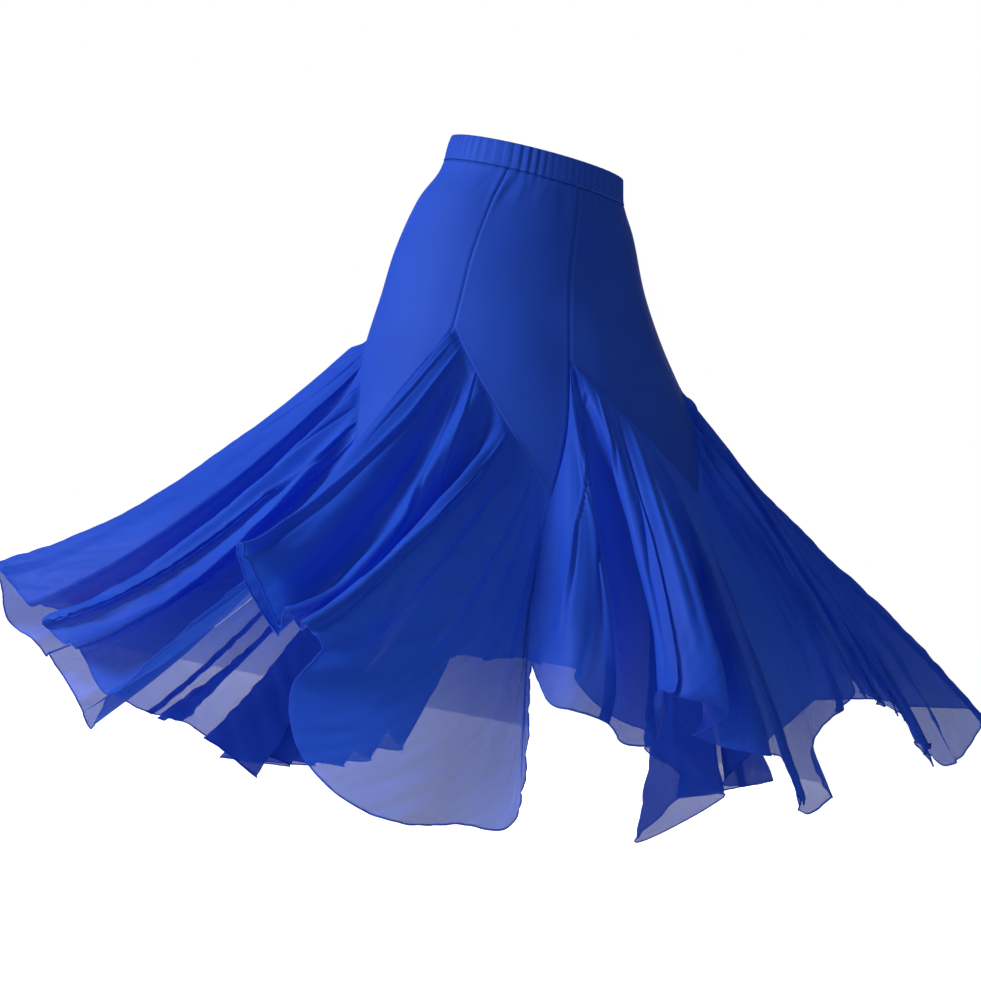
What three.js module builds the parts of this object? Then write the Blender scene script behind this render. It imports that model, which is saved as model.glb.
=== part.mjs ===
// Latin and ballroom practice skirt, worn and swinging: an elastic waistband, six hip panels that end in
// points, and six full godets set between the points, caught in mid turn with an uneven petal hem.
// Millimetres, +Z up along the waist axis, origin at the centre of the waistband's top edge.
// The front faces -Y. A turn is measured about +Z from the front, positive towards +X, in degrees.
// A drop is measured down from the waist, so a point hangs at z = -drop.

import * as THREE from "three";

// Driving sizes
const BAND_HEIGHT = 32;
const BAND_WALL = 2.4;
const PANEL_WALL = 1.4;
const GODET_WALL = 1.2;
const SEAM_GAP = 0.3;
// How much further a godet's top edge stands off, for the corners where its facets cut those of a panel
const CORNER_EASE = 0.1;
const TIP_WIDTH = 3;
const WAIST_DIP = 8;
const DIP_FROM_RIGHT = 20;

// The worn body of the skirt: half width across X, half depth across Y, and how far the hip is swung to +X.
const SECTIONS = [
  { drop: 0, halfWidth: 110, halfDepth: 92, sway: 3 },
  { drop: 38, halfWidth: 117, halfDepth: 98, sway: 4 },
  { drop: 78, halfWidth: 137, halfDepth: 110, sway: 4 },
  { drop: 145, halfWidth: 159, halfDepth: 126, sway: 9 },
  { drop: 205, halfWidth: 179, halfDepth: 141, sway: 22 },
  { drop: 268, halfWidth: 204, halfDepth: 158, sway: 39 },
  { drop: 345, halfWidth: 230, halfDepth: 185, sway: 60 },
  { drop: 430, halfWidth: 267, halfDepth: 222, sway: 71 },
];

// The six seams between panels: their turn at the waist, and the turn and drop of the godet's apex below.
const SEAMS = [
  { name: "left", atWaist: -91, atApex: -90, apexDrop: 262 },
  { name: "front_left", atWaist: -16, atApex: -27, apexDrop: 236 },
  { name: "front_right", atWaist: 29, atApex: 15.5, apexDrop: 252 },
  { name: "right", atWaist: 88, atApex: 82, apexDrop: 250 },
  { name: "back_right", atWaist: 151, atApex: 151, apexDrop: 255 },
  { name: "back_left", atWaist: 209, atApex: 207, apexDrop: 255 },
];

// Each panel lies between its seam in the list above and the next one. Its point is where the two godets
// beside it meet, and from there their joint seam runs on to a notch in the hem.
const PANELS = [
  {
    name: "panel_side_front_left",
    tip: { turn: -53, drop: 415 },
    seam: { turn: -44, reach: 325, drop: 563, midTurn: -43, midReach: 243, midDrop: 490 },
  },
  {
    name: "panel_centre_front",
    tip: { turn: 5, drop: 415 },
    seam: { turn: 17, reach: 345, drop: 601, midTurn: 19, midReach: 275, midDrop: 505 },
  },
  {
    name: "panel_side_front_right",
    tip: { turn: 56, drop: 380 },
    seam: { turn: 56, reach: 553, drop: 687, midTurn: 55, midReach: 418, midDrop: 504 },
  },
  {
    name: "panel_side_back_right",
    tip: { turn: 118, drop: 400 },
    seam: { turn: 107, reach: 521, drop: 617, midTurn: 110, midReach: 385, midDrop: 480 },
  },
  {
    name: "panel_centre_back",
    tip: { turn: 180, drop: 415 },
    seam: { turn: 184, reach: 391, drop: 674 },
  },
  {
    name: "panel_side_back_left",
    tip: { turn: 238, drop: 415 },
    seam: { turn: 247, reach: 470, drop: 780 },
  },
];

// The folds of each godet, from its left seam to its right seam as seen from outside, a row for each ridge,
// face and trough. A fold springs from the seam above it (-1 is the left panel's point, 0 the apex, 1 the
// right panel's point) and ends at the hem. One that is swept aside also names where it passes half way down,
// and one that sags names how far it hangs below a straight sweep above that place.
const FOLDS = {
  left: [
    { spring: -0.82, turn: -109, reach: 461, drop: 807 },
    { spring: -0.68, turn: -104, reach: 450, drop: 824 },
    { spring: -0.54, turn: -97, reach: 452, drop: 786 },
    { spring: -0.42, turn: -101, reach: 500, drop: 753 },
    { spring: -0.3, turn: -94, reach: 514, drop: 718 },
    { spring: -0.18, turn: -96, reach: 560, drop: 700 },
    { spring: -0.06, turn: -91, reach: 565, drop: 651, midTurn: -95, midReach: 366, midDrop: 490, sag: 30 },
    { spring: 0.05, turn: -88, reach: 572, drop: 622, midTurn: -88, midReach: 350, midDrop: 476, sag: 40 },
    { spring: 0.16, turn: -82, reach: 512, drop: 660, midTurn: -76, midReach: 318, midDrop: 486, sag: 25 },
    { spring: 0.31, turn: -84, reach: 462, drop: 664, midTurn: -76, midReach: 282, midDrop: 496 },
    { spring: 0.46, turn: -75, reach: 495, drop: 670, midTurn: -68, midReach: 309, midDrop: 506 },
    { spring: 0.58, turn: -70, reach: 474, drop: 688, midTurn: -64, midReach: 292, midDrop: 518 },
    { spring: 0.69, turn: -64, reach: 462, drop: 690, midTurn: -59, midReach: 290, midDrop: 526 },
    { spring: 0.78, turn: -68, reach: 445, drop: 702, midTurn: -62, midReach: 270, midDrop: 522 },
    { spring: 0.86, turn: -61, reach: 424, drop: 734, midTurn: -56, midReach: 264, midDrop: 545 },
    { spring: 0.94, turn: -54, reach: 392, drop: 672, midTurn: -51, midReach: 252, midDrop: 528 },
  ],
  front_left: [
    { spring: -0.75, turn: -39, reach: 325, drop: 607 },
    { spring: -0.45, turn: -34, reach: 330, drop: 625 },
    { spring: -0.2, turn: -37, reach: 365, drop: 585, midTurn: -33, midReach: 222, midDrop: 425 },
    { spring: 0, turn: -34, reach: 422, drop: 532, midTurn: -35, midReach: 248, midDrop: 410 },
    { spring: 0.13, turn: -30, reach: 408, drop: 568, midTurn: -27, midReach: 254, midDrop: 428 },
    { spring: 0.25, turn: -30, reach: 362, drop: 610, midTurn: -20, midReach: 238, midDrop: 450 },
    { spring: 0.36, turn: -26, reach: 392, drop: 590, midTurn: -14, midReach: 276, midDrop: 466 },
    { spring: 0.48, turn: -24, reach: 378, drop: 608, midTurn: -8, midReach: 244, midDrop: 470 },
    { spring: 0.62, turn: -20, reach: 434, drop: 594, midTurn: -8, midReach: 314, midDrop: 474 },
    { spring: 0.69, turn: -16, reach: 438, drop: 618, midTurn: -3, midReach: 318, midDrop: 496 },
    { spring: 0.75, turn: -20, reach: 430, drop: 666, midTurn: -2, midReach: 325, midDrop: 524 },
    { spring: 0.81, turn: -17, reach: 442, drop: 723, midTurn: 1, midReach: 333, midDrop: 551 },
    { spring: 0.86, turn: -9, reach: 457, drop: 764, midTurn: 4, midReach: 336, midDrop: 570 },
    { spring: 0.91, turn: -1, reach: 462, drop: 777, midTurn: 8, midReach: 334, midDrop: 580 },
    { spring: 0.95, turn: 7, reach: 445, drop: 770, midTurn: 12, midReach: 325, midDrop: 583 },
    { spring: 0.98, turn: 13.5, reach: 452, drop: 765, midTurn: 15.5, midReach: 318, midDrop: 580 },
  ],
  front_right: [
    { spring: -0.85, turn: 18, reach: 412, drop: 634, midTurn: 21, midReach: 318, midDrop: 520 },
    { spring: -0.6, turn: 20, reach: 431, drop: 635, midTurn: 23, midReach: 338, midDrop: 500 },
    { spring: -0.3, turn: 26, reach: 432, drop: 643, midTurn: 28, midReach: 338, midDrop: 480 },
    { spring: -0.1, turn: 34, reach: 396, drop: 670, midTurn: 33, midReach: 322, midDrop: 474 },
    { spring: 0.05, turn: 38, reach: 404, drop: 665, midTurn: 37, midReach: 332, midDrop: 470 },
    { spring: 0.18, turn: 29, reach: 485, drop: 597, midTurn: 32, midReach: 374, midDrop: 466 },
    { spring: 0.3, turn: 30, reach: 515, drop: 597, midTurn: 33, midReach: 400, midDrop: 465 },
    { spring: 0.43, turn: 34, reach: 549, drop: 603, midTurn: 36, midReach: 420, midDrop: 463 },
    { spring: 0.56, turn: 38, reach: 472, drop: 644, midTurn: 41, midReach: 390, midDrop: 478 },
    { spring: 0.69, turn: 41, reach: 545, drop: 644, midTurn: 42, midReach: 421, midDrop: 480 },
    { spring: 0.81, turn: 45, reach: 543, drop: 646, midTurn: 45, midReach: 421, midDrop: 482 },
    { spring: 0.92, turn: 51, reach: 548, drop: 706, midTurn: 49, midReach: 419, midDrop: 498 },
  ],
  right: [
    { spring: -0.85, turn: 59, reach: 508, drop: 647, midTurn: 61, midReach: 414, midDrop: 488 },
    { spring: -0.7, turn: 62, reach: 511, drop: 607, midTurn: 63, midReach: 412, midDrop: 465 },
    { spring: -0.56, turn: 65, reach: 528, drop: 573, midTurn: 65, midReach: 408, midDrop: 443 },
    { spring: -0.45, turn: 66, reach: 499, drop: 547, midTurn: 66, midReach: 396, midDrop: 438 },
    { spring: -0.34, turn: 70, reach: 533, drop: 581, midTurn: 69, midReach: 405, midDrop: 431 },
    { spring: -0.24, turn: 72, reach: 522, drop: 574, midTurn: 72, midReach: 393, midDrop: 442 },
    { spring: -0.14, turn: 76, reach: 549, drop: 590, midTurn: 75, midReach: 409, midDrop: 427 },
    { spring: -0.05, turn: 78, reach: 539, drop: 583, midTurn: 78, midReach: 398, midDrop: 443 },
    { spring: 0.04, turn: 81, reach: 581, drop: 606, midTurn: 81, midReach: 416, midDrop: 424 },
    { spring: 0.13, turn: 84, reach: 573, drop: 598, midTurn: 83, midReach: 406, midDrop: 443 },
    { spring: 0.22, turn: 87, reach: 629, drop: 658, midTurn: 86, midReach: 427, midDrop: 424 },
    { spring: 0.31, turn: 89, reach: 606, drop: 633, midTurn: 89, midReach: 419, midDrop: 441 },
    { spring: 0.4, turn: 91, reach: 654, drop: 659, midTurn: 92, midReach: 442, midDrop: 422 },
    { spring: 0.51, turn: 94, reach: 692, drop: 622, midTurn: 95, midReach: 432, midDrop: 434 },
    { spring: 0.63, turn: 96, reach: 703, drop: 590, midTurn: 98, midReach: 448, midDrop: 421 },
    { spring: 0.76, turn: 100, reach: 616, drop: 600, midTurn: 102, midReach: 430, midDrop: 440 },
    { spring: 0.88, turn: 103, reach: 601, drop: 599, midTurn: 105, midReach: 422, midDrop: 446 },
  ],
  back_right: [
    { spring: -0.88, turn: 117, reach: 457, drop: 757 },
    { spring: -0.78, turn: 117.5, reach: 541, drop: 744 },
    { spring: -0.68, turn: 123.5, reach: 422, drop: 790 },
    { spring: -0.58, turn: 113.5, reach: 443, drop: 768 },
    { spring: -0.48, turn: 125, reach: 372, drop: 857 },
    { spring: -0.38, turn: 127, reach: 454, drop: 770 },
    { spring: -0.28, turn: 133.5, reach: 412, drop: 735 },
    { spring: -0.18, turn: 129, reach: 478, drop: 728 },
    { spring: -0.06, turn: 144, reach: 426, drop: 705 },
    { spring: 0.09, turn: 150, reach: 395, drop: 670 },
    { spring: 0.25, turn: 155, reach: 460, drop: 655 },
    { spring: 0.41, turn: 161, reach: 390, drop: 650 },
    { spring: 0.57, turn: 166, reach: 450, drop: 655 },
    { spring: 0.73, turn: 172, reach: 388, drop: 660 },
    { spring: 0.88, turn: 178, reach: 430, drop: 668 },
  ],
  back_left: [
    { spring: -0.88, turn: 189, reach: 410, drop: 785 },
    { spring: -0.76, turn: 186, reach: 345, drop: 808 },
    { spring: -0.64, turn: 199, reach: 405, drop: 818 },
    { spring: -0.52, turn: 193, reach: 335, drop: 828 },
    { spring: -0.4, turn: 210, reach: 385, drop: 846 },
    { spring: -0.28, turn: 201, reach: 310, drop: 838 },
    { spring: -0.16, turn: 221, reach: 360, drop: 842 },
    { spring: -0.04, turn: 211, reach: 285, drop: 838 },
    { spring: 0.08, turn: 231, reach: 355, drop: 848 },
    { spring: 0.2, turn: 220, reach: 275, drop: 840 },
    { spring: 0.32, turn: 233, reach: 354, drop: 826 },
    { spring: 0.44, turn: 229, reach: 290, drop: 860 },
    { spring: 0.57, turn: 240, reach: 372, drop: 806 },
    { spring: 0.72, turn: 241.5, reach: 405, drop: 804 },
    { spring: 0.87, turn: 244, reach: 436, drop: 798 },
  ],
};

// How finely the walls are faceted
const PANEL_COLUMNS = 8;
const YOKE_ROWS = 5;
const POINT_ROWS = 7;
const GODET_ROWS = 8;
const LONGEST_STEP = 0.085;
const SHARPEST_MITRE = 1.6;
const BAND_GATHERS = 66;

const CLOTH_BLUE = new THREE.Color("#1f43c4");

const radians = THREE.MathUtils.degToRad;
const lerp = THREE.MathUtils.lerp;

// Smooth value of one column of a table at a drop, through its rows.
function atDrop(table, column, drop) {
  let i = 0;
  while (i < table.length - 2 && table[i + 1].drop < drop) i++;
  const rows = [Math.max(i - 1, 0), i, i + 1, Math.min(i + 2, table.length - 1)].map((k) => table[k]);
  const span = rows[2].drop - rows[1].drop;
  const t = (drop - rows[1].drop) / span;
  const slope = (a, b) => ((b[column] - a[column]) / (b.drop - a.drop)) * span;
  const m0 = slope(rows[0], rows[2]);
  const m1 = slope(rows[1], rows[3]);
  const t2 = t * t;
  const t3 = t2 * t;
  return (
    (2 * t3 - 3 * t2 + 1) * rows[1][column] +
    (t3 - 2 * t2 + t) * m0 +
    (3 * t2 - 2 * t3) * rows[2][column] +
    (t3 - t2) * m1
  );
}

// How much lower than its centre the waist is worn at a turn: low on the right and front, high on the left.
function waistDip(turn) {
  return WAIST_DIP * Math.sin(radians(turn + DIP_FROM_RIGHT));
}

// A point on the worn body of the skirt, which the waistband and the panels lie on.
function onBody(turn, drop) {
  const x = atDrop(SECTIONS, "sway", drop) + atDrop(SECTIONS, "halfWidth", drop) * Math.sin(radians(turn));
  const y = -atDrop(SECTIONS, "halfDepth", drop) * Math.cos(radians(turn));
  return new THREE.Vector3(x, y, -drop);
}

function bodyTangentDown(turn, drop) {
  const step = 1;
  return onBody(turn, drop + step).sub(onBody(turn, drop - step)).normalize();
}

function bodyTangentAround(turn, drop) {
  const step = 0.5;
  return onBody(turn + step, drop).sub(onBody(turn - step, drop)).normalize();
}

// Unit normal of the body, facing out.
function bodyNormal(turn, drop) {
  return bodyTangentAround(turn, drop).cross(bodyTangentDown(turn, drop)).negate().normalize();
}

function hemPoint({ turn, reach, drop }) {
  return new THREE.Vector3(reach * Math.sin(radians(turn)), -reach * Math.cos(radians(turn)), -drop);
}

// The closed wall between an outer and an inner grid of points, each rows[row][column].
function wallGeometry(outer, inner, closedAround = false) {
  const rows = outer.length;
  const columns = outer[0].length;
  const positions = [];
  for (const grid of [outer, inner]) {
    for (const row of grid) {
      for (const p of row) positions.push(p.x, p.y, p.z);
    }
  }
  const index = [];
  const at = (side, r, c) => side * rows * columns + r * columns + (c % columns);
  const quad = (a, b, c, d) => index.push(a, b, c, a, c, d);
  const lastColumn = closedAround ? columns : columns - 1;
  for (let c = 0; c < lastColumn; c++) {
    for (let r = 0; r < rows - 1; r++) {
      quad(at(0, r, c), at(0, r + 1, c), at(0, r + 1, c + 1), at(0, r, c + 1));
      quad(at(1, r, c), at(1, r, c + 1), at(1, r + 1, c + 1), at(1, r + 1, c));
    }
    quad(at(0, 0, c), at(0, 0, c + 1), at(1, 0, c + 1), at(1, 0, c));
    quad(at(0, rows - 1, c), at(1, rows - 1, c), at(1, rows - 1, c + 1), at(0, rows - 1, c + 1));
  }
  if (!closedAround) {
    for (let r = 0; r < rows - 1; r++) {
      quad(at(0, r, 0), at(1, r, 0), at(1, r + 1, 0), at(0, r + 1, 0));
      quad(at(0, r, columns - 1), at(0, r + 1, columns - 1), at(1, r + 1, columns - 1), at(1, r, columns - 1));
    }
  }
  const geometry = new THREE.BufferGeometry();
  geometry.setAttribute("position", new THREE.Float32BufferAttribute(positions, 3));
  geometry.setIndex(index);
  geometry.computeVertexNormals();
  return geometry;
}

function clothMesh(name, geometry, roughness) {
  const material = new THREE.MeshStandardMaterial({ color: CLOTH_BLUE, roughness, metalness: 0 });
  const mesh = new THREE.Mesh(geometry, material);
  mesh.name = name;
  return mesh;
}

// Waistband: a casing round wide elastic, gathered by it into fine flutes that show outside.
function waistband() {
  const gatherDepth = 1.1;
  const columns = BAND_GATHERS * 2;
  const drops = [0, BAND_HEIGHT / 2, BAND_HEIGHT];
  const outer = [];
  const inner = [];
  for (const drop of drops) {
    const outerRow = [];
    const innerRow = [];
    for (let c = 0; c < columns; c++) {
      const turn = (360 * c) / columns;
      const worn = drop + waistDip(turn);
      const normal = bodyNormal(turn, worn);
      const flute = c % 2 === 0 ? gatherDepth / 2 : -gatherDepth / 2;
      outerRow.push(onBody(turn, worn).addScaledVector(normal, BAND_WALL / 2 + flute));
      innerRow.push(onBody(turn, worn).addScaledVector(normal, -BAND_WALL / 2));
    }
    outer.push(outerRow);
    inner.push(innerRow);
  }
  return clothMesh("waistband", wallGeometry(outer, inner, true), 0.8);
}

// The seam after the last one is the first one, a full turn on.
function seamAfter(i) {
  const next = SEAMS[(i + 1) % SEAMS.length];
  const lap = i + 1 === SEAMS.length ? 360 : 0;
  return { atWaist: next.atWaist + lap, atApex: next.atApex + lap, apexDrop: next.apexDrop };
}

// Turn and drop along one side of a panel: down its seam to the apex, then in along the godet to its point.
function panelEdge(seam, tip, side, row) {
  if (row <= YOKE_ROWS) {
    const share = row / YOKE_ROWS;
    return {
      turn: lerp(seam.atWaist, seam.atApex, share),
      drop: lerp(BAND_HEIGHT + SEAM_GAP, seam.apexDrop, share),
    };
  }
  const share = (row - YOKE_ROWS) / POINT_ROWS;
  const halfTip = THREE.MathUtils.radToDeg(TIP_WIDTH / 2 / atDrop(SECTIONS, "halfWidth", tip.drop));
  return {
    turn: lerp(seam.atApex, tip.turn + side * halfTip, share),
    drop: lerp(seam.apexDrop, tip.drop, share),
  };
}

function panel(i) {
  const { name, tip } = PANELS[i];
  const outer = [];
  const inner = [];
  for (let row = 0; row <= YOKE_ROWS + POINT_ROWS; row++) {
    const left = panelEdge(SEAMS[i], tip, -1, row);
    const right = panelEdge(seamAfter(i), tip, 1, row);
    // Panel and panel stand half a gap each off their seam. Below the apex only the godet stands off.
    const halfGap = row <= YOKE_ROWS ? SEAM_GAP / 2 : 0;
    const outerRow = [];
    const innerRow = [];
    for (let c = 0; c <= PANEL_COLUMNS; c++) {
      const share = c / PANEL_COLUMNS;
      const turn = lerp(left.turn, right.turn, share);
      // The dip of the waist fades out from the top of the panel to the apexes.
      const dip = waistDip(turn) * Math.max(0, 1 - row / YOKE_ROWS);
      const drop = lerp(left.drop, right.drop, share) + dip;
      const inset = (1 - 2 * share) * halfGap;
      const point = onBody(turn, drop).addScaledVector(bodyTangentAround(turn, drop), inset);
      const normal = bodyNormal(turn, drop);
      outerRow.push(point.clone().addScaledVector(normal, PANEL_WALL / 2));
      innerRow.push(point.clone().addScaledVector(normal, -PANEL_WALL / 2));
    }
    outer.push(outerRow);
    inner.push(innerRow);
  }
  return clothMesh(name, wallGeometry(outer, inner), 0.75);
}

function panelLeftOf(i) {
  const panelBefore = PANELS[(i + PANELS.length - 1) % PANELS.length];
  const lap = i === 0 ? -360 : 0;
  const { tip, seam } = panelBefore;
  return { tip: { ...tip, turn: tip.turn + lap }, seam };
}

// Where a godet's top edge runs: up the left panel's edge to the apex and down the right panel's edge,
// along the straight facets of those edges. It also gives the way out of the seam, away from the panel.
function springPoint(i, spring) {
  const tip = spring < 0 ? panelLeftOf(i).tip : PANELS[i].tip;
  const side = spring < 0 ? 1 : -1;
  const row = YOKE_ROWS + Math.abs(spring) * POINT_ROWS;
  const above = Math.min(Math.floor(row), YOKE_ROWS + POINT_ROWS - 1);
  const start = panelEdge(SEAMS[i], tip, side, above);
  const end = panelEdge(SEAMS[i], tip, side, above + 1);
  const share = row - above;
  const startPoint = onBody(start.turn, start.drop);
  const endPoint = onBody(end.turn, end.drop);
  const turn = lerp(start.turn, end.turn, share);
  const drop = lerp(start.drop, end.drop, share);
  const normal = bodyNormal(turn, drop);
  const along = endPoint.clone().sub(startPoint).normalize();
  const inward = bodyTangentAround(turn, drop).multiplyScalar(side).add(bodyTangentDown(turn, drop));
  const away = spring === 0 ? bodyTangentDown(turn, drop) : along.cross(normal).normalize();
  if (away.dot(inward) < 0) away.negate();
  return { point: startPoint.lerp(endPoint, share), normal, away, turn, drop };
}

// A rib hangs from the seam to the hem. Unless its row names the point it passes half way down, it leaves
// along the body and then swings out.
function rib(i, fold) {
  const start = springPoint(i, fold.spring);
  if (Math.abs(fold.spring) === 1) {
    // The two godets of a joint seam share one rib, from the middle of the panel's point.
    const tip = fold.spring < 0 ? panelLeftOf(i).tip : PANELS[i].tip;
    start.point.copy(onBody(tip.turn, tip.drop));
  }
  const end = hemPoint(fold);
  const leave = start.point.clone();
  const arrive = new THREE.Vector3();
  if (fold.midDrop === undefined) {
    const length = start.point.distanceTo(end);
    const down = bodyTangentDown(start.turn, start.drop);
    leave.addScaledVector(down, 0.28 * length);
    arrive.copy(leave).addScaledVector(down, 0.14 * length).lerp(end, 1 / 3);
  } else {
    const mid = hemPoint({ turn: fold.midTurn, reach: fold.midReach, drop: fold.midDrop });
    leave.lerp(mid, 0.45);
    leave.z -= fold.sag ?? 0;
    arrive.copy(mid).multiplyScalar(8).sub(start.point).sub(end).addScaledVector(leave, -3).divideScalar(3);
  }
  return new THREE.CubicBezierCurve3(start.point, leave, arrive, end);
}

// Stations across a godet, as a row number of its fold table and a part of the step to the next row.
function stations(rows) {
  const list = [];
  for (let k = 0; k < rows.length - 1; k++) {
    const steps = Math.max(2, Math.ceil((rows[k + 1].spring - rows[k].spring) / LONGEST_STEP));
    for (let step = 0; step < steps; step++) list.push(k + step / steps);
  }
  list.push(rows.length - 1);
  return list;
}

// The middle surface of a godet's cloth as a grid of points from its top edge down to its hem.
function godetCloth(i) {
  const rows = [
    { ...panelLeftOf(i).seam, spring: -1 },
    ...FOLDS[SEAMS[i].name],
    { ...PANELS[i].seam, spring: 1 },
  ];
  const last = rows.length - 1;
  const ribs = rows.map((row) => rib(i, row));
  const across = stations(rows);
  const edges = across.map((station) => {
    const k = Math.min(Math.floor(station), last - 1);
    return springPoint(i, lerp(rows[k].spring, rows[k + 1].spring, station - k));
  });
  const lineAt = (v) => new THREE.CatmullRomCurve3(ribs.map((curve) => curve.getPoint(v)), false, "centripetal");
  const topLine = lineAt(0);
  const grid = [];
  for (let r = 0; r <= GODET_ROWS; r++) {
    const v = Math.pow(r / GODET_ROWS, 1.15);
    const line = lineAt(v);
    // At the top the cloth follows the panel edges exactly, and lower down it hangs free of them.
    const row = across.map((station, c) => {
      const slip = edges[c].point.clone().sub(topLine.getPoint(station / last));
      return line.getPoint(station / last).addScaledVector(slip, Math.pow(1 - v, 2));
    });
    // Folds are softer near the seam they spring from.
    const soften = 0.5 * (1 - v);
    grid.push(
      row.map((point, c) => {
        if (r === 0 || c === 0 || c === row.length - 1) return point;
        const beside = row[c - 1].clone().add(row[c + 1]).multiplyScalar(0.5);
        return point.clone().lerp(beside, soften);
      })
    );
  }
  return { grid, edges };
}

// The way across the cloth at a point, between its neighbours on the left and right, and the wall normal
// there, which halves the angle of a fold and is longer where the fold is sharp so that the wall keeps its
// thickness on both sides of it.
function crossing(point, left, right, down) {
  const toLeft = left.clone().sub(point).projectOnPlane(down).normalize();
  const toRight = right.clone().sub(point).projectOnPlane(down).normalize();
  const across = toRight.sub(toLeft);
  const reach = Math.min(2 / across.length(), SHARPEST_MITRE);
  across.normalize();
  const normal = across.clone().cross(down).negate().setLength(reach);
  return { across, normal };
}

// The same at a row of the joint seam of two godets, which both of their walls share.
function joint(leftGrid, rightGrid, r) {
  const end = leftGrid[r].length - 1;
  const below = leftGrid[Math.min(r + 1, GODET_ROWS)][end];
  const down = below.clone().sub(leftGrid[r - 1][end]).normalize();
  return crossing(leftGrid[r][end], leftGrid[r][end - 1], rightGrid[r][1], down);
}

// A godet's wall, moved clear of the panels by the seam gap and of the next godets by half of it.
function godet(i, cloths) {
  const { grid, edges } = cloths[i];
  const leftGrid = cloths[(i + cloths.length - 1) % cloths.length].grid;
  const rightGrid = cloths[(i + 1) % cloths.length].grid;
  const lastColumn = edges.length - 1;
  const outer = [];
  const inner = [];
  for (let r = 0; r <= GODET_ROWS; r++) {
    const outerRow = [];
    const innerRow = [];
    for (let c = 0; c <= lastColumn; c++) {
      const point = grid[r][c].clone();
      const normal = new THREE.Vector3();
      if (r === 0) {
        // The top edge leans half way from the panel's face to the cloth's, and its lean stays clear too.
        const { away } = edges[c];
        const along = grid[0][Math.min(c + 1, lastColumn)].clone().sub(grid[0][Math.max(c - 1, 0)]);
        const face = along.cross(grid[1][c].clone().sub(point)).negate().normalize();
        normal.copy(edges[c].normal).add(face).normalize();
        point.addScaledVector(away, SEAM_GAP + CORNER_EASE + (GODET_WALL / 2) * Math.abs(normal.dot(away)));
      } else if (c === 0 || c === lastColumn) {
        const seam = c === 0 ? joint(leftGrid, grid, r) : joint(grid, rightGrid, r);
        normal.copy(seam.normal);
        point.addScaledVector(seam.across, c === 0 ? SEAM_GAP / 2 : -SEAM_GAP / 2);
      } else {
        const down = grid[Math.min(r + 1, GODET_ROWS)][c].clone().sub(grid[r - 1][c]).normalize();
        normal.copy(crossing(grid[r][c], grid[r][c - 1], grid[r][c + 1], down).normal);
      }
      outerRow.push(point.clone().addScaledVector(normal, GODET_WALL / 2));
      innerRow.push(point.clone().addScaledVector(normal, -GODET_WALL / 2));
    }
    outer.push(outerRow);
    inner.push(innerRow);
  }
  return clothMesh("godet_" + SEAMS[i].name, wallGeometry(outer, inner), 0.7);
}

const skirt = new THREE.Group();
skirt.add(waistband());
const cloths = SEAMS.map((seam, i) => godetCloth(i));
for (let i = 0; i < PANELS.length; i++) {
  skirt.add(panel(i));
  skirt.add(godet(i, cloths));
}

export default skirt;
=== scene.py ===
# %% [markdown]
# # A latin dance skirt, caught in mid turn
#
# The skirt has three kinds of piece: an elastic waistband, a smooth hip yoke of six panels that end in
# points, and six very full godets of semi-sheer stretch mesh sewn between the points. It is filled out as
# if somebody wore it, and it swings. We load the solid model first, because every cloth here is a finer
# and thinner copy of one solid and has to stay where that solid is.

# %% Load the frame
import functools
import math
from collections import namedtuple

import bmesh
import bpy
import numpy as np
from mathutils import Matrix, Vector


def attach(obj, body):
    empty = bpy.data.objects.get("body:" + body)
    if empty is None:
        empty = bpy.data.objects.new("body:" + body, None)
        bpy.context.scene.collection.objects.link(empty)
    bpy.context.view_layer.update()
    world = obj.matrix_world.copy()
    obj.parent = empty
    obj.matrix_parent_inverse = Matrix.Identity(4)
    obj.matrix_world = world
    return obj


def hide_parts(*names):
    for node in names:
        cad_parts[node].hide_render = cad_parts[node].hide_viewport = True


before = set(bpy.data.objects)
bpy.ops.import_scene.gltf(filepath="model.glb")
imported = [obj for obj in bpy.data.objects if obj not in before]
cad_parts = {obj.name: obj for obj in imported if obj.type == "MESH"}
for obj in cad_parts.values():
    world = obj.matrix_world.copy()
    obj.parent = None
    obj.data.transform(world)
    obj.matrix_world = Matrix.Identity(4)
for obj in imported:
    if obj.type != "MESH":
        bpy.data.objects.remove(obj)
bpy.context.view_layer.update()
print("nodes:", ", ".join(sorted(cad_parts)))

# %% [markdown]
# ## The camera
#
# The photo looks at the front of the skirt from just above knee height, with the camera rolled a little.
# We place the camera by its distance and height and roll it about its own line of sight, because a rolled
# camera keeps the skirt upright, and upright is what every other view needs.

# %% Place the camera
CAMERA_PLACE = (0.0225, -2.6, -0.422)
CAMERA_ROLL = 10.5
VIEW_WIDTH = 1.236

camera_data = bpy.data.cameras.new("camera")
camera_data.sensor_width = 36.0
camera_data.lens = camera_data.sensor_width * -CAMERA_PLACE[1] / VIEW_WIDTH
camera = bpy.data.objects.new("camera", camera_data)
bpy.context.scene.collection.objects.link(camera)
roll = math.radians(CAMERA_ROLL)
look_along_y = Matrix.Rotation(math.radians(90), 4, "X")
camera.matrix_world = Matrix.Translation(CAMERA_PLACE) @ Matrix.Rotation(-roll, 4, "Y") @ look_along_y
bpy.context.scene.camera = camera
print(f"lens {camera_data.lens:.1f} mm")

# %% [markdown]
# ## The body inside the skirt
#
# A maker fits a skirt on a dress form. Our form is a short table of oval sections, each with its drop below
# the waist, its half width and half depth, and how far the hip has swung sideways. A smooth curve through
# the rows gives the form at any height. The table is in millimetres, as a maker would write it.

# %% Sections of the form
MM = 0.001

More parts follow.
